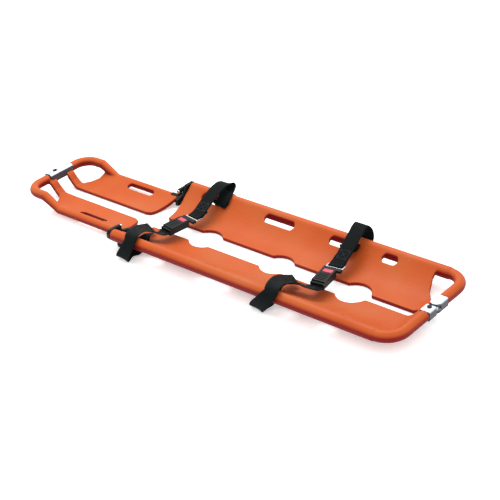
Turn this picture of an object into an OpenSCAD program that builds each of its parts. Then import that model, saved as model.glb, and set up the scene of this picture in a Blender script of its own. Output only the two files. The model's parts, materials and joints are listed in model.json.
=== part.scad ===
// Folding two-half scoop stretcher (spine board) in moulded plastic, with a narrower foot
// section that telescopes and folds, metal end couplings and two webbing straps.
// +X runs to the head end, +Y to the far half, +Z up. The origin is on the floor at the middle.

/* [Board] */
// Overall length with the foot section pushed in
board_len = 1640; // [1600:5:1700]
// Overall width over the head rails
board_w = 430; // [420:2:440]
// Height of the top of the head rails
rail_top = 71; // [69:1:73]
// Radius of the head side rails
rail_r = 20; // [19:0.5:20.5]
// Radius of the head end bar and its corners
bar_r = 18; // [17:0.5:18.5]
// Centreline radius of the head corners
corner_r = 62; // [58:1:66]
// Thickness of the hollow moulded panels
panel_t = 15; // [14:0.5:16]
// Height of the inner blade edges, which stand on the floor
blade_h = 13; // [12:0.5:14]

/* [Centre opening] */
// Half of the gap between the head halves
head_gap = 35; // [32:1:38]
// Half of the slit beside the head end
slit_gap = 15; // [12:1:17]
// Half of the gap between the foot halves
foot_gap = 24; // [22:1:26]
// Radius of the round widenings of the gap
notch_r = 56; // [52:1:58]

/* [Foot section] */
// Width over the foot rails
foot_w = 313; // [308:1:316]
// Radius of the foot rails
foot_r = 14.5; // [14:0.5:15]
// Height of the middle of the raised end handle
handle_z = 60; // [56:1:62]

/* [Slide and fold] */
// Radius of the telescoping tubes
tube_r = 12.5; // [12:0.1:12.6]
// Length of the telescoping tubes
tube_len = 480; // [470:5:500]
// Height of the fold hinge
fold_z = 52; // [51:1:54]
// Radius of the fold hinge pins
pin_r = 4; // [3.5:0.1:4.2]
// Radius of the hinge ears
ear_r = 9; // [8.5:0.5:10]

/* [Straps] */
// Webbing width
web_w = 50; // [46:1:50]
// Webbing thickness
web_t = 2.6; // [2:0.2:3]

/* [Hidden] */
$fn = 48;

orange = [0.89, 0.40, 0.20];
black = [0.09, 0.10, 0.10];
silver = [0.82, 0.83, 0.86];
steel = [0.62, 0.63, 0.65];
red = [0.80, 0.12, 0.16];

x_end = board_len / 2;
y_rail = board_w / 2 - rail_r;
z_rail = rail_top - rail_r;
y_foot = foot_w / 2 - foot_r;
z_foot = 24;
x_bar = x_end - bar_r;
x_corner = x_bar - corner_r;
y_corner = y_rail - corner_r;
head_left = -315;
head_left_in = -283;
slit_start = 521;
slit_end = 748;
notches = [-85, 220, 521];
handle_r = 17;
x_handle = -x_end + handle_r;
handle_corner = 55;
strut_y = 57;
ramp_top = -715;
ramp_foot = -645;
foot_right = -338;
foot_right_in = -362;
socket_len = 36;
bracket_len = 60;
foot_socket_len = 45;
foot_bracket_len = 60;
fold_x = -337;
tube_hole_r = tube_r + 0.4;
liner_r = 16;
liner_len = 70;
seam = 0.6;
slot_in = 153;
slot_out = 177;
head_slots = [[-245, -126], [38, 160], [308, 420], [512, 568]];
foot_slot = [-562, -438, 104, 127];
lever_x = -288;
stub_r = 8;
stub_len = 11;
foot_stub_len = 20;
foot_stub_r = 7;
rivet_r = 2.5;
eps = 0.01;

// ---------- shared helpers ----------

module near_side() { mirror([0, 1, 0]) children(); }
// A rod along X, Y or Z from its starting face
module rod_x(x, y, z, r, l) { translate([x, y, z]) rotate([0, 90, 0]) cylinder(r = r, h = l); }
module rod_y(x, y, z, r, l) { translate([x, y, z]) rotate([-90, 0, 0]) cylinder(r = r, h = l); }
module rod_z(x, y, z, r, l) { translate([x, y, z]) cylinder(r = r, h = l); }
// A block between two corners
module block(a, b) { translate(a) cube(b - a); }
// A through slot with round ends, from x0 to x1 and y0 to y1
module slot(x0, x1, y0, y1) {
  r = (y1 - y0) / 2;
  rod_z(x0 + r, y0 + r, -5, r, 90);
  rod_z(x1 - r, y0 + r, -5, r, 90);
  block([x0 + r, y0, -5], [x1 - r, y1, 85]);
}
// ---------- moulded panels ----------

// A curved rise of the panel's top face: [start, run, height, last point, power]
side_dish = [64, 117.6, 52.9, 181.6, 2];
end_dish = [722, 66, 49.5, 788, 1.6];
foot_dish = [45, 92, 24.6, 137, 1.6];
dish_steps = 8;
function rise(k, d) = blade_h + k[2] * pow(max(0, d - k[0]) / k[1], k[4]);
function step_at(k, i) = k[0] + (k[3] - k[0]) * i / dish_steps;
function top_line(k) = [for (i = [0:dish_steps]) [step_at(k, i), rise(k, step_at(k, i))]];
function low_line(k) = [for (i = [dish_steps:-1:1]) let (q = top_line(k)[i]) [q[0], max(0, q[1] - panel_t)]];
// Cross-section: a blade that stands on the floor, then the rising double wall
module dish_section(k) {
  polygon(concat([[0, blade_h]], top_line(k), low_line(k), [[k[0], 0], [0, 0]]));
}
// The space under the sheet, which trims whatever meets it from the side
module under_section(k) {
  low = low_line(k);
  polygon(concat([[low[0][0] + 60, -20], [low[0][0] + 60, low[0][1]]], low, [[low[dish_steps - 1][0], -20]]));
}
// A section in Y and Z carried along X, and one in X and Z carried along Y
module along_x(x0, x1) { translate([x0, 0, 0]) rotate([90, 0, 90]) linear_extrude(x1 - x0) children(); }
module along_y(y0, y1) { translate([0, y1, 0]) rotate([90, 0, 0]) linear_extrude(y1 - y0) children(); }

// Plan of one head half inside its rail's centreline
module head_plan() {
  difference() {
    union() {
      polygon([[head_left_in, 0], [x_corner, 0], [x_corner, y_rail], [head_left, y_rail], [head_left, 150]]);
      translate([x_corner - eps, seam]) square([corner_r, y_corner - seam]);
      translate([x_corner, y_corner]) circle(corner_r);
    }
    translate([head_left - 10, -1]) square([slit_start - head_left + 10, head_gap + 1]);
    translate([slit_start - 1, -1]) square([slit_end - slit_start + 1, slit_gap + 1]);
    translate([slit_end - 1, -1]) square([200, seam + 1]);
    for (x = notches) translate([x, 0]) circle(notch_r);
  }
}
// The hand opening in the far head corner, which leaves only the round bar outside it
module corner_opening() {
  translate([0, 0, -5]) linear_extrude(100) polygon([
    [702, y_rail], [702, 158], [718, 117], [745, 85], [774, 54], [x_bar, 54], [x_bar, y_rail]
  ]);
}
// The sheet climbs to the side rail and to the end bar
module head_dish() {
  difference() {
    along_x(-400, x_bar) dish_section(side_dish);
    along_y(seam, y_rail) under_section(end_dish);
  }
  difference() {
    along_y(seam, y_rail) intersection() {
      dish_section(end_dish);
      translate([end_dish[0] - 40, -10]) square([200, 200]);
    }
    along_x(-400, x_end) under_section(side_dish);
  }
}
// Rail, corner and end bar, whose stub goes into a coupling of the given length
module head_rail(coupling) {
  rod_x(head_left, y_rail, z_rail, rail_r, x_corner - head_left);
  translate([x_corner, y_corner, z_rail]) rotate_extrude(angle = 90) translate([corner_r, 0]) circle(bar_r);
  rod_y(x_bar, coupling, z_rail, bar_r, y_corner - coupling);
  rod_y(x_bar, coupling - stub_len, z_rail, stub_r, stub_len + 2);
}
module head_half(coupling, opened) {
  difference() {
    union() {
      difference() {
        intersection() {
          head_dish();
          linear_extrude(100) head_plan();
        }
        block([x_bar - 17.4, -1, -10], [x_end + 20, coupling + 0.3, 100]);
        if (opened) corner_opening();
      }
      head_rail(coupling);
    }
    rod_x(head_left - 1, y_rail, z_rail, tube_hole_r, tube_len + 12);
    rod_x(head_left - 1, y_rail, z_rail, liner_r, liner_len + 1);
    for (s = head_slots) slot(s[0], s[1], slot_in, slot_out);
    rod_z(lever_x, y_rail, 20, 3, 14);
    rod_z(x_bar, coupling - stub_len / 2, z_rail - 20, rivet_r, 40);
  }
}
module head_panel_near() { color(orange) near_side() head_half(socket_len, false); }
module head_panel_far() { color(orange) head_half(bracket_len, true); }

module foot_plan() {
  polygon([
    [-700, foot_gap], [foot_right_in - 25, foot_gap], [foot_right_in - 7, foot_gap + 8],
    [foot_right_in, foot_gap + 24], [foot_right, 130], [foot_right, y_foot], [-700, y_foot]
  ]);
  translate([x_handle, foot_gap]) square([100, y_foot - handle_corner - foot_gap]);
  translate([x_handle + handle_corner, foot_gap]) square([60, y_foot - foot_gap]);
  translate([x_handle + handle_corner, y_foot - handle_corner]) circle(handle_corner);
}
// Opening of the raised handle, between the strut that edges the gap and the rail
module handle_opening() {
  translate([0, 0, -5]) linear_extrude(100) polygon([
    [x_handle, strut_y], [-745, strut_y], [-720, 80], [-702, 105],
    [-702, y_foot + 20], [x_handle, y_foot + 20]
  ]);
}
// Rail, ramp and handle bar, whose stub goes into a coupling of the given length
module foot_rail(coupling) {
  ramp = [ramp_foot - ramp_top, 0, z_foot - handle_z];
  ramp_l = norm(ramp);
  rod_x(ramp_foot, y_foot, z_foot, foot_r, foot_right - ramp_foot);
  translate([ramp_foot, y_foot, z_foot]) sphere(foot_r + 0.4);
  translate([ramp_top, y_foot, handle_z]) rotate([0, 90 - atan2(ramp[2], ramp[0]), 0])
    cylinder(r1 = handle_r, r2 = foot_r, h = ramp_l);
  translate([ramp_top, y_foot, handle_z]) sphere(handle_r + 0.4);
  rod_x(x_handle + handle_corner, y_foot, handle_z, handle_r, ramp_top - x_handle - handle_corner);
  translate([x_handle + handle_corner, y_foot - handle_corner, handle_z])
    rotate([0, 0, 90]) rotate_extrude(angle = 90) translate([handle_corner, 0]) circle(handle_r);
  rod_y(x_handle, coupling, handle_z, handle_r, y_foot - handle_corner - coupling);
  rod_y(x_handle, coupling - foot_stub_len, handle_z, foot_stub_r, foot_stub_len + 2);
}
// Side view of the strut that climbs steeply from the low panel to the handle
strut_view = [
  [-700, 0], [-700, 13], [-742, 15], [-760, 31], [-775, 50], [-790, 64], [x_handle, 68],
  [x_handle, 48], [-790, 44], [-774, 26], [-752, 4], [-745, 0]
];
// Low dished part and the strut of the foot panel
module foot_sheet(coupling) {
  difference() {
    intersection() {
      union() {
        along_x(-744, foot_right) dish_section(foot_dish);
        along_y(foot_gap, strut_y) polygon(strut_view);
      }
      linear_extrude(100) foot_plan();
    }
    handle_opening();
    block([x_handle - 30, -1, 0], [x_handle + 17.4, coupling + 0.3, 100]);
  }
}
module foot_half(coupling) {
  difference() {
    union() {
      foot_sheet(coupling);
      foot_rail(coupling);
    }
    slot(foot_slot[0], foot_slot[1], foot_slot[2], foot_slot[3]);
    rod_z(x_handle, coupling - foot_stub_len / 2, handle_z - 20, rivet_r, 40);
    rod_y(foot_right - 20, 150, z_foot, 2, 20);
  }
}
module foot_panel_near() { color(orange) near_side() foot_half(foot_socket_len); }
module foot_panel_far() { color(orange) foot_half(foot_bracket_len); }

// ---------- head coupling ----------

head_blk_z0 = z_rail - 17;
head_blk_z1 = z_rail + 15;
link_y = 26;
tongue_t = 12;
latch_y = -11;
tongue_y = -20;
stem_r = 3.2;
button_r = 7;

// One cast shell over the end bar, from y0 to y1 in the far half's sense
module head_shell(y0, y1) {
  difference() {
    intersection() {
      block([x_bar - 17, y0, head_blk_z0], [x_end, y1, head_blk_z1]);
      rod_y(x_bar, y0 - 1, z_rail, 21.5, y1 - y0 + 2);
    }
    rod_y(x_bar, y1 - stub_len - 0.4, z_rail, stub_r + 0.3, 20);
    rod_z(x_bar, y1 - stub_len / 2, head_blk_z0 - 5, rivet_r, 50);
  }
}
// Slot for a tongue and the well of its latch button, for a coupling at height z
module latch_well(x, z, half_w) {
  block([x - half_w, tongue_y - 2.5, z - tongue_t / 2 - 0.5], [x + half_w, 5, z + tongue_t / 2 + 0.5]);
  rod_z(x, latch_y, z, button_r + 0.4, 30);
  rod_z(x, latch_y, z - 13, stem_r + 0.4, 30);
}
// Fork at the end of a tongue, which straddles the latch stem
module latch_fork(x, z) {
  rod_z(x, latch_y, z - 20, stem_r + 1, 40);
  block([x - stem_r - 1, -60, z - 20], [x + stem_r + 1, latch_y, z + 20]);
}
// Female half, on the near side: takes the link tongue and the latch button
module head_socket() {
  color(silver) difference() {
    near_side() head_shell(seam, socket_len);
    latch_well(x_bar, z_rail, 12);
  }
}
// Flat forked tongue that stays in the socket while the far half swings on it
module head_link_tongue() {
  color(steel) difference() {
    union() {
      block([x_bar - 11.4, tongue_y, z_rail - tongue_t / 2], [x_bar + 11.4, link_y, z_rail + tongue_t / 2]);
      rod_z(x_bar, link_y, z_rail - tongue_t / 2, 11.4, tongue_t);
    }
    latch_fork(x_bar, z_rail);
    rod_z(x_bar, link_y, z_rail - 20, 5.05, 40);
  }
}
// Clevis on the far side, round about the pivot so that it can swing
module head_bracket() {
  color(silver) difference() {
    union() {
      head_shell(link_y, bracket_len);
      intersection() {
        rod_z(x_bar, link_y, head_blk_z0, 17.9, head_blk_z1 - head_blk_z0);
        rod_y(x_bar, 0, z_rail, 21.5, 80);
      }
    }
    translate([0, 0, z_rail - tongue_t / 2 - 0.5]) linear_extrude(tongue_t + 1) union() {
      translate([x_bar, link_y]) circle(17);
      polygon([
        [x_bar + 14, link_y + 2], [x_bar - 14, link_y + 2],
        [x_bar - 70, link_y - 60], [x_bar + 70, link_y - 60]
      ]);
    }
    rod_z(x_bar, link_y, head_blk_z0 - 5, 5, 60);
  }
}
module head_pivot_pin() {
  color(steel) rod_z(x_bar, link_y, head_blk_z0 + 1, 5, head_blk_z1 - head_blk_z0 - 1.4);
}
// Push button over a coupling at height z: a cap in its well and a stem through the fork
module latch_button(x, z, z_top) {
  rod_z(x, latch_y, z + 14, button_r, z_top - z - 14);
  rod_z(x, latch_y, z - 6, stem_r, 21);
}
// A helical spring stands as a thin sleeve of its outer size
module latch_spring(x, z) {
  difference() {
    rod_z(x, latch_y, z + 6.8, 5.6, 7);
    rod_z(x, latch_y, z + 5.8, 4.4, 9);
  }
}
module head_latch_button() { color(black) latch_button(x_bar, z_rail, head_blk_z1 + 3); }
module head_latch_spring() { color(steel) latch_spring(x_bar, z_rail); }
// Blind rivet: a shank with a low head
module rivet(x, y, z0, z1) {
  rod_z(x, y, z0, rivet_r, z1 - z0);
  rod_z(x, y, z1 - eps, rivet_r + 1.6, 1.4);
}
module head_rivet(y) { rivet(x_bar, y, head_blk_z0 + 2, head_blk_z1); }
module head_rivets_near() { color(steel) head_rivet(stub_len / 2 - socket_len); }
module head_rivets_far() { color(steel) head_rivet(bracket_len - stub_len / 2); }

// ---------- foot coupling ----------

foot_blk_r = 21.5;
foot_blk_h = 19;

module foot_shell(y0, y1) {
  difference() {
    intersection() {
      block([x_handle - handle_r, y0, handle_z - 15], [x_handle + handle_r, y1, handle_z + foot_blk_h]);
      rod_y(x_handle, y0 - 1, handle_z, foot_blk_r, y1 - y0 + 2);
    }
    rod_y(x_handle, y1 - foot_stub_len - 0.4, handle_z, foot_stub_r + 0.3, 40);
    rod_z(x_handle, y1 - foot_stub_len / 2, handle_z - 30, rivet_r, 60);
  }
}
module foot_socket() {
  color(silver) difference() {
    near_side() foot_shell(seam, foot_socket_len);
    latch_well(x_handle, handle_z, 11);
  }
}
module foot_bracket() {
  color(silver) difference() {
    union() {
      foot_shell(seam, foot_bracket_len);
      block([x_handle - 9, tongue_y, handle_z - tongue_t / 2], [x_handle + 9, 14, handle_z + tongue_t / 2]);
    }
    latch_fork(x_handle, handle_z);
  }
}
module foot_latch_button() { color(black) latch_button(x_handle, handle_z, handle_z + foot_blk_h + 3); }
module foot_latch_spring() { color(steel) latch_spring(x_handle, handle_z); }
module foot_rivet(y) { rivet(x_handle, y, handle_z - 13, handle_z + foot_blk_h); }
module foot_rivets_near() { color(steel) foot_rivet(foot_stub_len / 2 - foot_socket_len); }
module foot_rivets_far() { color(steel) foot_rivet(foot_bracket_len - foot_stub_len / 2); }

// ---------- telescoping tubes and fold hinges ----------

module slide_tube() {
  difference() {
    rod_x(head_left - 8, y_rail, z_rail, tube_r, tube_len);
    rod_x(head_left - 20, y_rail, z_rail, tube_r - 2, tube_len + 20);
  }
}
module slide_tube_near() { color(silver) near_side() slide_tube(); }
module slide_tube_far() { color(silver) slide_tube(); }
module tube_liner() {
  difference() {
    rod_x(head_left, y_rail, z_rail, liner_r, liner_len);
    rod_x(head_left - 1, y_rail, z_rail, tube_hole_r, liner_len + 2);
  }
}
module tube_liner_near() { color(black) near_side() tube_liner(); }
module tube_liner_far() { color(black) tube_liner(); }

// Plate across the end of the head half, with the plug in the tube and the hinge lug
bracket_face = [
  [114, 14], [138, 14], [150, 24], [176, 32], [205, 34], [213, 44], [213, 60], [204, 70], [168, 70],
  [150, 46], [114, 36]
];
module hinge_bracket_half() {
  difference() {
    union() {
      along_x(head_left - 14, head_left - 2)
        polygon(bracket_face);
      rod_y(fold_x, 161, fold_z, ear_r, 14);
      block([fold_x, 161, fold_z - ear_r], [head_left - 2, 175, fold_z + ear_r]);
      rod_x(head_left - 14, y_rail, z_rail, tube_r - 2, 40);
    }
    rod_y(fold_x, 110, fold_z, ear_r + 3, 50);
    rod_y(fold_x, 150, fold_z, pin_r, 40);
    difference() {
      rod_x(head_left - 8, y_rail, z_rail, tube_r, 12);
      rod_x(head_left - 9, y_rail, z_rail, tube_r - 2, 16);
    }
    rod_x(head_left - 15, 140, 28, 2.1, 40);
  }
}
module hinge_bracket_near() { color(black) near_side() hinge_bracket_half(); }
module hinge_bracket_far() { color(black) hinge_bracket_half(); }

// Cap on the foot rail with an ear up to the fold axis
module hinge_arm_half() {
  difference() {
    union() {
      rod_x(foot_right - 30, y_foot, z_foot, foot_r + 2, 36);
      rod_y(fold_x, 146, fold_z, ear_r, 13);
      block([fold_x - ear_r, 146, z_foot], [fold_x + 5, 157.5, fold_z]);
    }
    rod_x(foot_right - 60, y_foot, z_foot, foot_r, 60);
    block([foot_right - 40, 0, -5], [foot_right + 20, 134, 60]);
    rod_y(fold_x, 130, fold_z, pin_r + 0.06, 40);
    rod_y(foot_right - 20, 130, z_foot, 2, 40);
  }
}
module hinge_arm_near() { color(black) near_side() hinge_arm_half(); }
module hinge_arm_far() { color(black) hinge_arm_half(); }

module hinge_pin_half() {
  rod_y(fold_x, 143, fold_z, pin_r, 34);
  rod_y(fold_x, 140, fold_z, pin_r + 2.5, 3.2);
}
module hinge_pin_near() { color(steel) near_side() hinge_pin_half(); }
module hinge_pin_far() { color(steel) hinge_pin_half(); }

module hinge_screw_half() {
  rod_y(foot_right - 20, 151, z_foot, 2, 9);
  rod_y(foot_right - 20, 158.5, z_foot, 4, 2);
}
module hinge_screws_near() { color(steel) near_side() hinge_screw_half(); }
module hinge_screws_far() { color(steel) hinge_screw_half(); }

// Cam lever that lies under the rail and swings out to free the tube
lever_z = 18;
lever_tip = lever_x + 24;
module clamp_lever_half() {
  difference() {
    union() {
      rod_z(lever_x, y_rail, lever_z, 10, 11.5);
      block([lever_x, y_rail - 7, lever_z], [lever_tip, y_rail + 7, lever_z + 9]);
      rod_z(lever_tip, y_rail, lever_z, 7.4, 9);
    }
    rod_z(lever_x, y_rail, lever_z - 5, 4.06, 30);
  }
}
module clamp_lever_near() { color(black) near_side() clamp_lever_half(); }
module clamp_lever_far() { color(black) clamp_lever_half(); }
module lever_screw_half() {
  rod_z(lever_x, y_rail, lever_z - 1, 4, 13);
  rod_z(lever_x, y_rail, lever_z - 4, 7, 3.6);
  rod_z(lever_x, y_rail, lever_z + 11, 3, 4);
}
module lever_screw_near() { color(steel) near_side() lever_screw_half(); }
module lever_screw_far() { color(steel) lever_screw_half(); }

// ---------- straps ----------

function unit(v) = v / max(norm(v), 0.001);
// A smooth curve through the points of a path, with n steps between two of them
function curve(p, n) = [
  for (i = [0:len(p) - 2]) for (k = [0:n - 1])
    let (t = k / n, a = p[max(i - 1, 0)], b = p[i], c = p[i + 1], d = p[min(i + 2, len(p) - 1)])
      (2 * b + (c - a) * t + (2 * a - 5 * b + 4 * c - d) * pow(t, 2)
        + (3 * b - a - 3 * c + d) * pow(t, 3)) / 2,
  p[len(p) - 1]
];
function place(q) = [q[0], q[1], q[2]];
// Direction of the webbing's width from its turn about Z and its tilt
function across(q) = [cos(q[3]) * cos(q[4]), sin(q[3]) * cos(q[4]), sin(q[4])];
// A ribbon through points [x, y, z, turn of its width, tilt of its width]
module ribbon(path) {
  q = curve(path, 3);
  n = len(q);
  along = [for (i = [0:n - 1]) unit(place(q[min(i + 1, n - 1)]) - place(q[max(i - 1, 0)]))];
  wide = [for (i = [0:n - 1]) unit(across(q[i]) - along[i] * (across(q[i]) * along[i]))];
  ring = [for (i = [0:n - 1]) for (s = [[-1, -1], [1, -1], [1, 1], [-1, 1]])
    place(q[i]) + wide[i] * s[0] * web_w / 2 + cross(along[i], wide[i]) * s[1] * web_t / 2];
  sides = [for (i = [0:n - 2]) for (k = [0:3]) let (a = 4 * i + k, b = 4 * i + (k + 1) % 4)
    each [[a, b, b + 4], [a, b + 4, a + 4]]];
  polyhedron(points = ring, faces = concat([[3, 2, 1], [3, 1, 0]], sides,
    [[4 * n - 4, 4 * n - 3, 4 * n - 2], [4 * n - 4, 4 * n - 2, 4 * n - 1]]));
}
// Near straps: a free tail over the panel, round the rail, up through the slot and on to the buckle
foot_near_run = [
  [-264, -69, 31, -42, 0], [-256, -105, 50, -25, 0], [-236, -152, 74, -8, 0], [-219, -194, 84, 0, 0],
  [-209, -219, 74, 0, 0], [-215, -238, 46, 0, -6], [-229, -244, 19, 0, -8], [-236, -236, 7.5, 0, -5],
  [-241, -212, 7, 0, 0], [-233, -184, 12, 0, 0], [-211, -165, 42, 0, 0], [-208, -145, 59, -20, 15],
  [-206, -116, 54, -47, 30], [-194, -103, 51, -24, 12], [-186.8, -93.1, 50, -8, 0],
  [-185.3, -82.4, 50, -8, 0]
];
head_near_run = [
  [348, -61, 30, -50, 0], [342, -100, 50, -35, 0], [356, -150, 76, -20, 0], [372, -193, 86, -5, 0],
  [380, -218, 76, 0, 0], [360, -232, 48, 0, -20], [332, -230, 19, 0, -15], [324, -219, 6.5, 0, 0],
  [332, -190, 10, 0, 0], [338, -173, 22, 0, 0], [343, -160, 46, 0, 0], [354, -134, 56, -25, 18],
  [382, -102, 54, -47, 30], [416, -98, 52, -32, 16], [443.6, -84.3, 50, 6, 0],
  [442.7, -78.4, 50, 9, 0]
];
// Far straps: from the tongue up over the rail. The foot-side one curls back and goes down through
// its slot and round the rail; the head-side one goes round the rail and comes up through its slot
foot_far_run = [
  [-169.5, 30, 52.4, -8, 0], [-168, 48, 54, -6, 0], [-167, 66, 58, -4, 0], [-170, 100, 72, 0, 0],
  [-174, 140, 88, 0, 0], [-176, 175, 99, 0, 0], [-175, 203, 102, 2, 0], [-171, 221, 96, 4, 0],
  [-165, 222, 86, 6, 0], [-160, 208, 79.5, 8, 0], [-152, 190, 77, 10, 0], [-146, 172, 70, 8, 0],
  [-146, 156, 60, 4, 0], [-150, 149, 51, 0, 0], [-155, 158, 42, 0, 0], [-161, 166, 30, 0, 0],
  [-165, 177, 21, 0, 0], [-168, 197, 19.5, 0, 0], [-170, 217, 26, 0, 0], [-170, 226, 44, 0, 0],
  [-168, 226, 58, 0, 0]
];
head_far_run = [
  [424.5, 36, 52.4, 9, 0], [422.5, 50, 54, 8, 0], [421, 68, 57, 6, 0], [418, 100, 70, 0, 0],
  [412, 140, 88, 0, 0], [407, 175, 102, 0, 0], [401, 200, 109, 0, 0], [400, 218, 109, 0, 0],
  [402, 234, 90, 0, 0], [404, 238, 65, 0, 0], [402, 233, 44, 0, 0], [394, 220, 26, 0, 0],
  [380, 195, 20, 0, 0], [372, 170, 30, 4, 0], [384, 162, 50, 28, 8], [418, 150, 51, 72, 28]
];
module foot_strap_near() { color(black) ribbon(foot_near_run); }
module head_strap_near() { color(black) ribbon(head_near_run); }
module foot_strap_far() { color(black) ribbon(foot_far_run); }
module head_strap_far() { color(black) ribbon(head_far_run); }

// ---------- buckles ----------

bk_z = 50;
bk_w = 23;
bk_back = -80;
press_w = 16;
press_back = -15.6;
// Where each buckle's mouth is and how far it is turned: [x, y, turn]
foot_bk = [-174, -2, -8];
head_bk = [430, 2, 9];
module at(k) { translate([k[0], k[1], bk_z]) rotate([0, 0, k[2]]) children(); }
// Lower shell with the slot that the tongue enters from the far side
module buckle_shell() {
  difference() {
    block([-bk_w, bk_back, -11], [bk_w, 2, 4]);
    block([-press_w, -40, -2.4], [press_w, 5, 6]);
    block([-19, -24, 1], [19, 5, 6]);
  }
}
// Upper cover, open at the front for the press button, ribbed at the back
module buckle_cover() {
  difference() {
    block([-bk_w, bk_back, 4.02], [bk_w, 2, 13]);
    block([-press_w - 0.4, -20, 0], [press_w + 0.4, 10, 20]);
    block([-30, bk_back - 5, 9], [30, bk_back + 9, 20]);
    for (y = [-64:8:-32]) block([-17, y, 11.4], [17, y + 3.4, 20]);
  }
}
module buckle_button() {
  block([-press_w, press_back, 4.6], [press_w, 1, 12]);
  block([-12, press_back - 4, 1.2], [12, press_back + 4, 3.6]);
  block([-12, press_back, 1.2], [12, press_back + 4, 4.7]);
}
// The spring stands at the length it has when the button is pressed
module buckle_spring() {
  difference() {
    rod_y(0, -37.8, 1, 3, 13.8);
    rod_y(0, -40, 1, 2.2, 30);
  }
}
// Steel plate with a latch window and a cross slot for the webbing
module buckle_tongue() {
  difference() {
    union() {
      block([-11, -19, -1.2], [11, 20, 0.8]);
      block([-29, 14, -1.2], [29, 54, 0.8]);
    }
    block([-6, -14, -5], [6, -6, 5]);
    block([-26, 34, -5], [26, 43, 5]);
  }
}
module tongue_grip() {
  difference() {
    block([-31, 12, -4], [31, 26, 5]);
    block([-29.1, 11, -1.3], [29.1, 30, 0.9]);
  }
}
module foot_buckle_shell() { color(black) at(foot_bk) buckle_shell(); }
module head_buckle_shell() { color(black) at(head_bk) buckle_shell(); }
module foot_buckle_cover() { color(black) at(foot_bk) buckle_cover(); }
module head_buckle_cover() { color(black) at(head_bk) buckle_cover(); }
module foot_buckle_button() { color(red) at(foot_bk) buckle_button(); }
module head_buckle_button() { color(red) at(head_bk) buckle_button(); }
module foot_buckle_spring() { color(steel) at(foot_bk) buckle_spring(); }
module head_buckle_spring() { color(steel) at(head_bk) buckle_spring(); }
module foot_buckle_tongue() { color(steel) at(foot_bk) buckle_tongue(); }
module head_buckle_tongue() { color(steel) at(head_bk) buckle_tongue(); }
module foot_tongue_grip() { color(black) at(foot_bk) tongue_grip(); }
module head_tongue_grip() { color(black) at(head_bk) tongue_grip(); }

head_panel_near();
head_panel_far();
foot_panel_near();
foot_panel_far();
head_socket();
head_link_tongue();
head_bracket();
head_pivot_pin();
head_latch_button();
head_latch_spring();
head_rivets_near();
head_rivets_far();
foot_socket();
foot_bracket();
foot_latch_button();
foot_latch_spring();
foot_rivets_near();
foot_rivets_far();
slide_tube_near();
slide_tube_far();
tube_liner_near();
tube_liner_far();
hinge_bracket_near();
hinge_bracket_far();
hinge_arm_near();
hinge_arm_far();
hinge_pin_near();
hinge_pin_far();
hinge_screws_near();
hinge_screws_far();
clamp_lever_near();
clamp_lever_far();
lever_screw_near();
lever_screw_far();
foot_strap_near();
foot_strap_far();
head_strap_near();
head_strap_far();
foot_buckle_shell();
head_buckle_shell();
foot_buckle_cover();
head_buckle_cover();
foot_buckle_button();
head_buckle_button();
foot_buckle_spring();
head_buckle_spring();
foot_buckle_tongue();
head_buckle_tongue();
foot_tongue_grip();
head_tongue_grip();
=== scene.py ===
"""A folding two-half scoop stretcher on a pale studio floor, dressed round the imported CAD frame."""

import json
import math

import bmesh
import bpy
from mathutils import Matrix, Vector


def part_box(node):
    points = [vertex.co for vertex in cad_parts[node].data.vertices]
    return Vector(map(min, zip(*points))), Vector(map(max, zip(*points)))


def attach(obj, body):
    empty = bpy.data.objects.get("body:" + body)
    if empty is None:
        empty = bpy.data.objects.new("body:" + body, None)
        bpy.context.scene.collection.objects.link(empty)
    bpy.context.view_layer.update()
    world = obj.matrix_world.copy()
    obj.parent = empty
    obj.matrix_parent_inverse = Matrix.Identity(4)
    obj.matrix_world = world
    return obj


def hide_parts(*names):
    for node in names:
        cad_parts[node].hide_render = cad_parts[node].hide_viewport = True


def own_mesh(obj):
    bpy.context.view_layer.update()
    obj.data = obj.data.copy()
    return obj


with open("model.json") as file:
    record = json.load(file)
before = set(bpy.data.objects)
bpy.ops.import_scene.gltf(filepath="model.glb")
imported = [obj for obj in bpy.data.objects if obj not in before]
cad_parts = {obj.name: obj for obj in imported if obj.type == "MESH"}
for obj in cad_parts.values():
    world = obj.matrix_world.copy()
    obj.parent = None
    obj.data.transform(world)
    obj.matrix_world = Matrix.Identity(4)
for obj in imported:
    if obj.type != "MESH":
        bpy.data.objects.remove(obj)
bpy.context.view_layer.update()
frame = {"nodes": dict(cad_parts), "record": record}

MM = 0.001


# ---------- camera, light and floor ----------

CAMERA_AZIMUTH = 43.16
CAMERA_HEIGHT = 30.27
CAMERA_ROLL = 5.45
CAMERA_DISTANCE = 4.0947
CAMERA_LENS = 91.64
CAMERA_OFFSET = (0.0073, -0.0294)
AIM_X = 0.1202
WORLD_STRENGTH = 1.15
KEY_POWER = 85
FILL_POWER = 12
FLOOR_GLOW = 0.35


def camera():
    az = math.radians(CAMERA_AZIMUTH)
    el = math.radians(CAMERA_HEIGHT)
    roll = math.radians(CAMERA_ROLL)
    back = Vector((math.sin(az) * math.cos(el), -math.cos(az) * math.cos(el), math.sin(el)))
    right = Vector((math.cos(az), math.sin(az), 0))
    up = back.cross(right)
    place = Vector((AIM_X, 0, 0)) - right * CAMERA_OFFSET[0] - up * CAMERA_OFFSET[1] + back * CAMERA_DISTANCE
    across = right * math.cos(roll) - up * math.sin(roll)
    upward = right * math.sin(roll) + up * math.cos(roll)
    data = bpy.data.cameras.new("camera")
    data.lens = CAMERA_LENS
    data.sensor_width = 36
    data.clip_end = 60
    cam = bpy.data.objects.new("camera", data)
    turn = Matrix((across, upward, back)).transposed().to_4x4()
    cam.matrix_world = Matrix.Translation(place) @ turn
    bpy.context.scene.collection.objects.link(cam)
    bpy.context.scene.camera = cam


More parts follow.
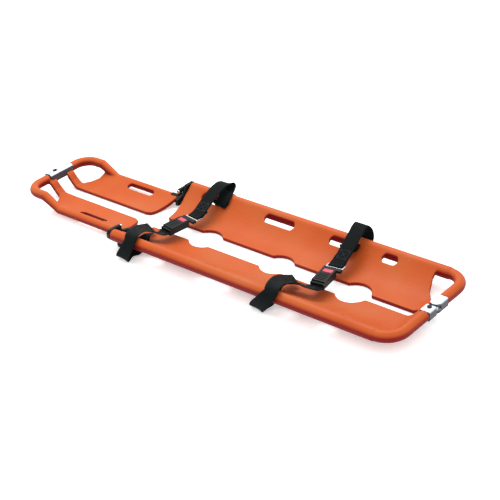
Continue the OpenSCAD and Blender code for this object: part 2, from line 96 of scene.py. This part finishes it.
def area_light(name, place, aim, size, power):
    data = bpy.data.lights.new(name, "AREA")
    data.shape = "RECTANGLE"
    data.size, data.size_y = size
    data.energy = power
    lamp = bpy.data.objects.new(name, data)
    lamp.location = place
    lamp.rotation_euler = (Vector(aim) - Vector(place)).to_track_quat("-Z", "Y").to_euler()
    bpy.context.scene.collection.objects.link(lamp)


def studio():
    scene = bpy.context.scene
    scene.view_settings.view_transform = "Standard"
    world = bpy.data.worlds.new("studio")
    world.use_nodes = True
    world.node_tree.nodes["Background"].inputs["Color"].default_value = (1, 1, 1, 1)
    world.node_tree.nodes["Background"].inputs["Strength"].default_value = WORLD_STRENGTH
    scene.world = world
    area_light("key", (-0.9, 1.3, 2.7), (0, 0, 0), (2.4, 1.6), KEY_POWER)
    area_light("fill", (2.4, -2.6, 2.2), (0, 0, 0), (2.4, 1.8), FILL_POWER)
    mesh = bpy.data.meshes.new("floor")
    reach = 14
    corners = [(-reach, -reach, 0), (reach, -reach, 0), (reach, reach, 0), (-reach, reach, 0)]
    mesh.from_pydata(corners, [], [(0, 1, 2, 3)])
    floor = bpy.data.objects.new("floor", mesh)
    floor.location.z = -0.0005
    scene.collection.objects.link(floor)
    paint = Paint("floor", (0.93, 0.93, 0.93), 0.8)
    paint.set("Specular IOR Level", 0.1)
    paint.set("Emission Color", (1, 1, 1, 1))
    paint.set("Emission Strength", FLOOR_GLOW)
    mesh.materials.append(paint.material)


# ---------- materials ----------

class Paint:
    """One material with its shader, and short ways to add nodes to it."""

    def __init__(self, name, colour, roughness, metallic=0.0):
        self.material = bpy.data.materials.new(name)
        self.material.use_nodes = True
        self.tree = self.material.node_tree
        self.shader = self.tree.nodes["Principled BSDF"]
        self.set("Base Color", (*colour, 1))
        self.set("Roughness", roughness)
        self.set("Metallic", metallic)
        self.height = None

    def set(self, socket, value):
        self.shader.inputs[socket].default_value = value

    def node(self, kind, **values):
        made = self.tree.nodes.new(kind)
        for key, value in values.items():
            if key in made.inputs:
                made.inputs[key].default_value = value
            else:
                setattr(made, key, value)
        return made

    def link(self, out, into):
        self.tree.links.new(out, into)

    def place(self, kind="Object", scale=(1, 1, 1)):
        mapping = self.node("ShaderNodeMapping")
        mapping.inputs["Scale"].default_value = scale
        self.link(self.node("ShaderNodeTexCoord").outputs[kind], mapping.inputs["Vector"])
        return mapping.outputs["Vector"]

    def noise(self, scale, detail=3.0, stretch=(1, 1, 1)):
        made = self.node("ShaderNodeTexNoise", Scale=scale, Detail=detail)
        self.link(self.place(scale=stretch), made.inputs["Vector"])
        return made.outputs["Fac"]

    def ramp(self, value, stops):
        made = self.node("ShaderNodeValToRGB")
        made.color_ramp.elements[0].position = stops[0][0]
        made.color_ramp.elements[0].color = (*stops[0][1], 1)
        made.color_ramp.elements[1].position = stops[-1][0]
        made.color_ramp.elements[1].color = (*stops[-1][1], 1)
        for position, colour in stops[1:-1]:
            made.color_ramp.elements.new(position).color = (*colour, 1)
        self.link(value, made.inputs["Fac"])
        return made.outputs["Color"]

    def span(self, value, low, high):
        made = self.node("ShaderNodeMapRange")
        made.inputs["To Min"].default_value = low
        made.inputs["To Max"].default_value = high
        self.link(value, made.inputs["Value"])
        return made.outputs["Result"]

    def math(self, operation, a, b):
        made = self.node("ShaderNodeMath", operation=operation)
        for socket, value in zip(made.inputs, (a, b)):
            if isinstance(value, (int, float)):
                socket.default_value = value
            else:
                self.link(value, socket)
        return made.outputs[0]

    def facing_up(self, low, high):
        """From 0 to 1 as the rise of a face's normal, in the part's own axes, goes from low to high."""
        coordinates = self.node("ShaderNodeTexCoord")
        split = self.node("ShaderNodeSeparateXYZ")
        self.link(coordinates.outputs["Normal"], split.inputs["Vector"])
        made = self.node("ShaderNodeMapRange")
        made.interpolation_type = "SMOOTHSTEP"
        made.inputs["From Min"].default_value = low
        made.inputs["From Max"].default_value = high
        self.link(split.outputs["Z"], made.inputs["Value"])
        return made.outputs["Result"]

    def level(self, low, high):
        """1 on faces that look up, and on flat undersides, and 0 on the walls between them, where the
        painted shade goes.
        """
        return self.math("MAXIMUM", self.facing_up(low, high), self.facing_up(-0.80, -0.97))

    def blended(self, factor, first, second):
        made = self.node("ShaderNodeMix", data_type="RGBA")
        self.link(factor, made.inputs[0])
        for socket, value in ((made.inputs[6], first), (made.inputs[7], second)):
            if isinstance(value, tuple):
                socket.default_value = (*value, 1)
            else:
                self.link(value, socket)
        return made.outputs[2]

    def colour(self, out):
        self.link(out, self.shader.inputs["Base Color"])

    def roughness(self, out):
        self.link(out, self.shader.inputs["Roughness"])

    def bump(self, value, strength, distance=0.001):
        made = self.node("ShaderNodeBump", Strength=strength, Distance=distance)
        self.link(value, made.inputs["Height"])
        if self.height is not None:
            self.link(self.height, made.inputs["Normal"])
        self.height = made.outputs["Normal"]
        self.link(self.height, self.shader.inputs["Normal"])


def orange_shell():
    """Moulded polyethylene: pebble grain, a slow drift of orange, and painted shade in deep red on the
    walls.
    """
    p = Paint("orange_shell", (0.78, 0.14, 0.04), 0.42)
    drift = p.noise(5.5, 2.0)
    warm = (0.42, 0.106, 0.032)
    middle = (0.45, 0.082, 0.016)
    deep = (0.42, 0.066, 0.010)
    top = p.ramp(drift, [(0.25, deep), (0.55, middle), (0.8, warm)])
    # painted shade: walls that neither face up nor lie flat underneath get a deep red in place of the orange
    wall_painted_shade = (0.16, 0.002, 0.003)
    p.colour(p.blended(p.level(0.10, 0.80), wall_painted_shade, top))
    p.roughness(p.span(p.noise(60, 4.0), 0.40, 0.56))
    p.bump(p.noise(900, 2.0), 0.12, 0.0004)
    p.bump(p.noise(26, 1.0), 0.06, 0.002)
    p.set("Specular IOR Level", 0.12)
    return p.material


def cast_alloy():
    """Tumbled aluminium casting with a pitted grain, bright on top, with painted shade darkening its sides.
    """
    p = Paint("cast_alloy", (0.80, 0.81, 0.83), 0.42, 0.45)
    # painted shade: faces that do not look up are coloured near-black, the upward faces keep the bright
    # metal
    p.colour(p.blended(p.level(-0.05, 0.75), (0.05, 0.05, 0.06), (0.56, 0.61, 0.69)))
    p.roughness(p.span(p.noise(180, 5.0), 0.38, 0.58))
    p.bump(p.noise(700, 3.0), 0.22, 0.0005)
    return p.material


def drawn_tube():
    """Satin anodised tube with drawing lines along its length."""
    p = Paint("drawn_tube", (0.46, 0.47, 0.49), 0.34, 1.0)
    p.roughness(p.span(p.noise(90, 4.0, (0.05, 1, 1)), 0.26, 0.44))
    p.bump(p.noise(900, 2.0, (0.02, 1, 1)), 0.10, 0.0004)
    return p.material


def zinc_steel():
    """Zinc-plated steel with faint handling marks."""
    p = Paint("zinc_steel", (0.60, 0.62, 0.65), 0.3, 1.0)
    p.roughness(p.span(p.noise(240, 5.0), 0.22, 0.42))
    p.bump(p.noise(500, 3.0, (1, 0.2, 1)), 0.08, 0.0004)
    return p.material


def black_plastic():
    """Glass-filled nylon: near-black with a spark-eroded grain."""
    p = Paint("black_plastic", (0.004, 0.006, 0.005), 0.42)
    p.roughness(p.span(p.noise(150, 4.0), 0.34, 0.52))
    p.set("Specular IOR Level", 0.13)
    p.bump(p.noise(1500, 2.0), 0.25, 0.0003)
    return p.material


def press_plastic():
    """Gloss pinkish-red moulding of the press buttons."""
    p = Paint("press_plastic", (0.50, 0.03, 0.075), 0.3)
    p.roughness(p.span(p.noise(200, 3.0), 0.22, 0.36))
    p.bump(p.noise(900, 2.0), 0.08, 0.0003)
    return p.material


WEAVE_ALONG = 2200.0
WEAVE_ACROSS = 1500.0


def webbing():
    """Seat-belt webbing: twill ribs along the ribbon, from its own UV, in near-black yarn, with painted
    shade darkening the colour in the grooves between the ribs.
    """
    p = Paint("webbing", (0.004, 0.006, 0.006), 0.62)
    uv = p.place("UV")
    split = p.node("ShaderNodeSeparateXYZ")
    p.link(uv, split.inputs["Vector"])
    along = p.math("MULTIPLY", split.outputs["Y"], WEAVE_ALONG)
    across = p.math("MULTIPLY", split.outputs["X"], WEAVE_ACROSS)
    ribs = p.math("ABSOLUTE", p.math("SINE", across, 0), 0)
    twill = p.math("SINE", p.math("ADD", along, across), 0)
    weave = p.math("ADD", p.math("MULTIPLY", twill, 0.35), ribs)
    p.bump(weave, 0.55, 0.0007)
    # painted shade: the yarn colour follows the bump height, darker in the grooves and lighter on the ribs
    groove_painted_shade = p.math("MULTIPLY", weave, 0.75)
    p.colour(p.ramp(groove_painted_shade, [(0.1, (0.001, 0.0015, 0.002)), (0.9, (0.005, 0.008, 0.008))]))
    p.roughness(p.span(p.noise(300, 4.0), 0.5, 0.72))
    p.set("Sheen Weight", 0.02)
    p.set("Specular IOR Level", 0.05)
    p.set("Sheen Roughness", 0.4)
    p.set("Sheen Tint", (0.6, 0.75, 0.75, 1))
    return p.material


def thread():
    p = Paint("thread", (0.05, 0.055, 0.058), 0.6)
    p.bump(p.noise(2500, 2.0), 0.2, 0.0002)
    return p.material


FINISH = {
    "shell": orange_shell(),
    "cast": cast_alloy(),
    "tube": drawn_tube(),
    "steel": zinc_steel(),
    "black_plastic": black_plastic(),
    "press": press_plastic(),
    "webbing": webbing(),
}
THREAD = thread()
SLOT_OF = {part["node"]: part["material_slot"] for part in frame["record"]["subparts"]}
BODY_OF = {node: body for body, nodes in frame["record"]["behaviour"]["bodies"].items() for node in nodes}


# ---------- making pieces ----------

def new_piece(name, mesh, slot_name, body):
    piece = bpy.data.objects.new(name, mesh)
    bpy.context.scene.collection.objects.link(piece)
    if not mesh.materials:
        mesh.materials.append(FINISH[slot_name])
    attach(piece, body)
    return piece


def applied(piece):
    """The piece's mesh with its modifiers applied."""
    graph = bpy.context.evaluated_depsgraph_get()
    graph.update()
    mesh = bpy.data.meshes.new_from_object(piece.evaluated_get(graph))
    piece.modifiers.clear()
    piece.data = mesh


def smooth_faces(mesh):
    mesh.polygons.foreach_set("use_smooth", [True] * len(mesh.polygons))


VOXEL = 2.6 * MM
SOFTEN_STEPS = 7


def moulded(node):
    """A hollow-moulded shell keeps the CAD shape, with every edge softened as a mould leaves it."""
    mesh = frame["nodes"][node].data.copy()
    mesh.materials.clear()
    piece = new_piece(node + "_moulding", mesh, "shell", BODY_OF[node])
    remesh = piece.modifiers.new("remesh", "REMESH")
    remesh.mode = "VOXEL"
    remesh.voxel_size = VOXEL
    soften = piece.modifiers.new("soften", "SMOOTH")
    soften.factor = 0.5
    soften.iterations = SOFTEN_STEPS
    applied(piece)
    smooth_faces(piece.data)
    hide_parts(node)
    return piece


# ---------- webbing ----------

WEB_WIDTH = 50
WEB_THICKNESS = 2.6
SELVEDGE_THINNING = 0.55
SELVEDGE_POWER = 14
RING_STEPS = 9
ACROSS_STEPS = 12
BUCKLE_HEIGHT = 50
FOOT_BUCKLE = (-174, -2, -8)
HEAD_BUCKLE = (430, 2, 9)


def at_buckle(buckle, forward, up):
    """A path point on a buckle's centre line, so far in front of its mouth and above its tongue plane."""
    turn = math.radians(buckle[2])
    x = buckle[0] - forward * math.sin(turn)
    y = buckle[1] + forward * math.cos(turn)
    return (x, y, BUCKLE_HEIGHT + up, buckle[2], 0)


def tongue_loop(buckle):
    """The webbing comes back under the tongue plate, round its end bar and out on top."""
    loop = [(84, 10.4), (68, 4.6), (55, -3.0), (45, -3.4), (38.6, -2.4), (36.2, 0.6), (38.8, 3.0), (46, 3.2)]
    return [at_buckle(buckle, forward, up) for forward, up in loop]


# Paths of the webbing's centre line: x, y, z in mm, turn of the width about Z, tilt of the width
FOOT_NEAR = [
    (-264, -69, 31, -42, 0), (-256, -105, 50, -25, 0), (-236, -152, 74, -8, 0), (-219, -194, 84, 0, 0),
    (-209, -219, 74, 0, 0), (-215, -238, 46, 0, -6), (-229, -244, 19, 0, -8), (-236, -236, 7.5, 0, -5),
    (-241, -212, 7, 0, 0), (-233, -184, 12, 0, 0), (-211, -165, 42, 0, 0), (-208, -145, 59, -20, 15),
    (-206, -116, 54, -47, 30), (-194, -103, 51, -24, 12), (-186.8, -93.1, 50, -8, 0),
    (-185.3, -82.4, 50, -8, 0),
]
HEAD_NEAR = [
    (348, -61, 30, -50, 0), (342, -100, 50, -35, 0), (356, -150, 76, -20, 0), (372, -193, 86, -5, 0),
    (380, -218, 76, 0, 0), (360, -232, 48, 0, -20), (332, -230, 19, 0, -15), (324, -219, 6.5, 0, 0),
    (332, -190, 10, 0, 0), (338, -173, 22, 0, 0), (343, -160, 46, 0, 0), (354, -134, 56, -25, 18),
    (382, -102, 54, -47, 30), (416, -98, 52, -32, 16), (443.6, -84.3, 50, 6, 0),
    (442.7, -78.4, 50, 9, 0),
]
FOOT_FAR = tongue_loop(FOOT_BUCKLE) + [
    (-167, 66, 58, -4, 0), (-170, 100, 72, 0, 0),
    (-174, 140, 88, 0, 0), (-176, 175, 99, 0, 0), (-175, 203, 102, 2, 0), (-171, 221, 96, 4, 0),
    (-165, 222, 86, 6, 0), (-160, 208, 79.5, 8, 0), (-152, 190, 77, 10, 0), (-146, 172, 70, 8, 0),
    (-146, 156, 60, 4, 0), (-150, 149, 51, 0, 0), (-155, 158, 42, 0, 0), (-161, 166, 30, 0, 0),
    (-165, 177, 21, 0, 0), (-168, 197, 19.5, 0, 0), (-170, 217, 26, 0, 0), (-170, 226, 44, 0, 0),
    (-168, 226, 58, 0, 0),
]
HEAD_FAR = tongue_loop(HEAD_BUCKLE) + [
    (421, 68, 57, 6, 0), (418, 100, 70, 0, 0),
    (412, 140, 88, 0, 0), (407, 175, 102, 0, 0), (401, 200, 109, 0, 0), (400, 218, 109, 0, 0),
    (402, 234, 90, 0, 0), (404, 238, 65, 0, 0), (402, 233, 44, 0, 0), (394, 220, 26, 0, 0),
    (380, 195, 20, 0, 0), (372, 170, 30, 4, 0), (384, 162, 50, 28, 8), (418, 150, 51, 72, 28),
]


def smooth_path(points):
    """A smooth curve through the points of a path, each with five values."""
    last = len(points) - 1
    path = []
    for i in range(last):
        a, b, c, d = (points[max(i - 1, 0)], points[i], points[i + 1], points[min(i + 2, last)])
        for k in range(RING_STEPS):
            t = k / RING_STEPS
            path.append([(2 * q + (r - p) * t + (2 * p - 5 * q + 4 * r - s) * t ** 2
                          + (3 * q - p - 3 * r + s) * t ** 3) / 2 for p, q, r, s in zip(a, b, c, d)])
    path.append(list(points[last]))
    return path


class Ribbon:
    """A webbing strip laid along a path, which knows the place of any spot on it."""

    def __init__(self, points):
        path = smooth_path(points)
        self.centres = [Vector(q[:3]) for q in path]
        self.wide = []
        self.thick = []
        self.length = [0.0]
        for i, q in enumerate(path):
            ahead = self.centres[min(i + 1, len(path) - 1)]
            behind = self.centres[max(i - 1, 0)]
            along = (ahead - behind).normalized()
            turn = math.radians(q[3])
            tilt = math.radians(q[4])
            wide = Vector((math.cos(turn) * math.cos(tilt), math.sin(turn) * math.cos(tilt), math.sin(tilt)))
            wide = (wide - along * along.dot(wide)).normalized()
            self.wide.append(wide)
            self.thick.append(wide.cross(along))
            if i:
                self.length.append(self.length[-1] + (self.centres[i] - self.centres[i - 1]).length)

    def spot(self, along, across, height):
        """The point at a length along, an offset across and a height over the middle layer, in mm."""
        along = min(max(along, 0.0), self.length[-1] - 0.001)
        i = max(k for k in range(len(self.length) - 1) if self.length[k] <= along)
        t = (along - self.length[i]) / (self.length[i + 1] - self.length[i])
        centre = self.centres[i].lerp(self.centres[i + 1], t)
        wide = self.wide[i].lerp(self.wide[i + 1], t)
        thick = self.thick[i].lerp(self.thick[i + 1], t)
        return centre + wide * across + thick * height


def webbing_strip(name, node, ribbon):
    """The woven strip: full thickness over its width, thinner at the selvedges, closed flat at its ends."""
    profile = []
    for side in (1, -1):
        for k in range(ACROSS_STEPS + 1):
            u = side * (2 * k / ACROSS_STEPS - 1)
            profile.append((u, side * (1 - SELVEDGE_THINNING * abs(u) ** SELVEDGE_POWER)))
    mesh = bmesh.new()
    uv = mesh.loops.layers.uv.new("weave")
    rings = []
    for i, centre in enumerate(ribbon.centres):
        ring = []
        for u, v in profile:
            place = centre + ribbon.wide[i] * u * WEB_WIDTH / 2 + ribbon.thick[i] * v * WEB_THICKNESS / 2
            ring.append(mesh.verts.new(place * MM))
        rings.append(ring)
    count = len(profile)
    for i in range(len(rings) - 1):
        for k in range(count):
            n = (k + 1) % count
            face = mesh.faces.new((rings[i][k], rings[i][n], rings[i + 1][n], rings[i + 1][k]))
            face.smooth = True
            for loop, (ring, spot) in zip(face.loops, ((i, k), (i, n), (i + 1, n), (i + 1, k))):
                loop[uv].uv = (profile[spot][0] * WEB_WIDTH / 2 * MM, ribbon.length[ring] * MM)
    mesh.faces.new(list(reversed(rings[0])))
    mesh.faces.new(rings[-1])
    bmesh.ops.recalc_face_normals(mesh, faces=mesh.faces)
    data = bpy.data.meshes.new(name)
    mesh.to_mesh(data)
    mesh.free()
    piece = new_piece(name, data, "webbing", BODY_OF[node])
    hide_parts(node)


STITCH_PITCH = 4.6
STITCH_LENGTH = 3.4
STITCH_HALF_WIDTH = 0.45
STITCH_HEIGHT = 0.55
STITCH_DEPTH = 0.3
STITCH_TOP_LENGTH = 2.584
STITCH_TOP_HALF_WIDTH = 0.27
STITCH_ROW = 17


def stitch_box(start, end):
    """Rows of a box stitch with its cross, between two lengths of the strip."""
    w = STITCH_ROW
    return [(start, -w, end, -w), (start, w, end, w), (start, -w, start, w), (end, -w, end, w),
            (start, -w, end, w), (start, w, end, -w)]


def stitching(name, node, ribbon, rows):
    """Short raised threads along straight rows, on both faces of the strip."""
    mesh = bmesh.new()
    for s0, u0, s1, u1 in rows:
        reach = math.hypot(s1 - s0, u1 - u0)
        count = int(reach / STITCH_PITCH)
        ahead = Vector(((s1 - s0) / reach, (u1 - u0) / reach))
        aside = Vector((-ahead.y, ahead.x))
        for k in range(count):
            middle = Vector((s0, u0)) + ahead * (k + 0.5) * reach / count
            for face in (1, -1):
                low = []
                high = []
                for a, b in ((-1, -1), (1, -1), (1, 1), (-1, 1)):
                    corner = middle + ahead * a * STITCH_LENGTH / 2 + aside * b * STITCH_HALF_WIDTH
                    inner = middle + ahead * a * STITCH_TOP_LENGTH / 2 + aside * b * STITCH_TOP_HALF_WIDTH
                    base = face * WEB_THICKNESS / 2
                    foot = ribbon.spot(corner.x, corner.y, base - face * STITCH_DEPTH)
                    crown = ribbon.spot(inner.x, inner.y, base + face * STITCH_HEIGHT)
                    low.append(mesh.verts.new(foot * MM))
                    high.append(mesh.verts.new(crown * MM))
                mesh.faces.new(high)
                mesh.faces.new(list(reversed(low)))
                for n in range(4):
                    m = (n + 1) % 4
                    mesh.faces.new((low[n], low[m], high[m], high[n]))
    bmesh.ops.recalc_face_normals(mesh, faces=mesh.faces)
    data = bpy.data.meshes.new(name)
    mesh.to_mesh(data)
    mesh.free()
    data.materials.append(THREAD)
    new_piece(name, data, "webbing", BODY_OF[node])


def strap(node, points, boxes):
    ribbon = Ribbon(points)
    webbing_strip(node + "_webbing", node, ribbon)
    rows = []
    for start, reach in boxes:
        first = start if start >= 0 else ribbon.length[-1] + start
        rows += stitch_box(first, first + reach)
    stitching(node + "_stitching", node, ribbon, rows)


# ---------- springs ----------

COIL_STEPS = 20
WIRE_SIDES = 8
LATCH_WIRE = 0.6
LATCH_TURNS = 3
BUCKLE_COIL_RADIUS = 3
BUCKLE_WIRE = 0.4
BUCKLE_TURNS = 7
BUCKLE_SPRING_ENDS = (-37.8, -24.0)


def coil(node, start, end, radius, wire, turns):
    """A helical wire spring between two points in mm, of an outer and a wire radius, for its CAD sleeve."""
    length = (end - start).length
    along = (end - start).normalized()
    side = along.orthogonal().normalized()
    other = along.cross(side)
    mesh = bmesh.new()
    rings = []
    for i in range(turns * COIL_STEPS + 1):
        angle = math.tau * i / COIL_STEPS
        outward = side * math.cos(angle) + other * math.sin(angle)
        height = wire + (length - 2 * wire) * i / (turns * COIL_STEPS)
        centre = start + along * height + outward * (radius - wire)
        ring = []
        for k in range(WIRE_SIDES):
            bend = math.tau * k / WIRE_SIDES
            place = centre + (outward * math.cos(bend) + along * math.sin(bend)) * wire
            ring.append(mesh.verts.new(place * MM))
        rings.append(ring)
    for low, high in zip(rings, rings[1:]):
        for k in range(WIRE_SIDES):
            n = (k + 1) % WIRE_SIDES
            mesh.faces.new((low[k], low[n], high[n], high[k]))
    mesh.faces.new(rings[0])
    mesh.faces.new(rings[-1])
    bmesh.ops.recalc_face_normals(mesh, faces=mesh.faces)
    data = bpy.data.meshes.new(node + "_coil")
    mesh.to_mesh(data)
    mesh.free()
    smooth_faces(data)
    piece = new_piece(node + "_coil", data, "steel", BODY_OF[node])
    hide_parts(node)
    return piece


def latch_coil(node):
    """The spring under a latch button, made at the length of its CAD part, though the real one shortens as
    the button goes in.
    """
    low, high = (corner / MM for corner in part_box(node))
    middle = (low + high) / 2
    start = Vector((middle.x, middle.y, low.z))
    end = Vector((middle.x, middle.y, high.z))
    piece = coil(node, start, end, (high.x - low.x) / 2, LATCH_WIRE, LATCH_TURNS)
    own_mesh(piece)


def buckle_coil(node, buckle):
    """The spring behind a press button, at the length it has when the button is in."""
    start, end = (Vector(at_buckle(buckle, forward, 1)[:3]) for forward in BUCKLE_SPRING_ENDS)
    coil(node, start, end, BUCKLE_COIL_RADIUS, BUCKLE_WIRE, BUCKLE_TURNS)


EDGE_WIDTH = 0.7 * MM
EDGE_SEGMENTS = 2
EDGE_ANGLE = 40


def edged(node):
    """A CAD part keeps its shape and gets its finish and small rounded edges."""
    part = frame["nodes"][node]
    part.data.materials.clear()
    part.data.materials.append(FINISH[SLOT_OF[node]])
    bevel = part.modifiers.new("edges", "BEVEL")
    bevel.width = EDGE_WIDTH
    bevel.segments = EDGE_SEGMENTS
    bevel.limit_method = "ANGLE"
    bevel.angle_limit = math.radians(EDGE_ANGLE)
    bevel.harden_normals = True


camera()
studio()

PANELS = ["head_panel_near", "head_panel_far", "foot_panel_near", "foot_panel_far"]
for panel in PANELS:
    moulded(panel)
# Stitch boxes: where each starts along its strap, from the last end where negative, and its length
NEAR_STITCHES = [(6, 30), (-46, 34)]
FAR_STITCHES = [(92, 34)]
strap("foot_strap_near", FOOT_NEAR, NEAR_STITCHES)
strap("head_strap_near", HEAD_NEAR, NEAR_STITCHES)
strap("foot_strap_far", FOOT_FAR, FAR_STITCHES)
strap("head_strap_far", HEAD_FAR, FAR_STITCHES)
STRAPS = ["foot_strap_near", "head_strap_near", "foot_strap_far", "head_strap_far"]
latch_coil("head_latch_spring")
latch_coil("foot_latch_spring")
buckle_coil("foot_buckle_spring", FOOT_BUCKLE)
buckle_coil("head_buckle_spring", HEAD_BUCKLE)
SPRINGS = ["head_latch_spring", "foot_latch_spring", "foot_buckle_spring", "head_buckle_spring"]
for cad_node in frame["nodes"]:
    if cad_node not in PANELS + STRAPS + SPRINGS:
        edged(cad_node)
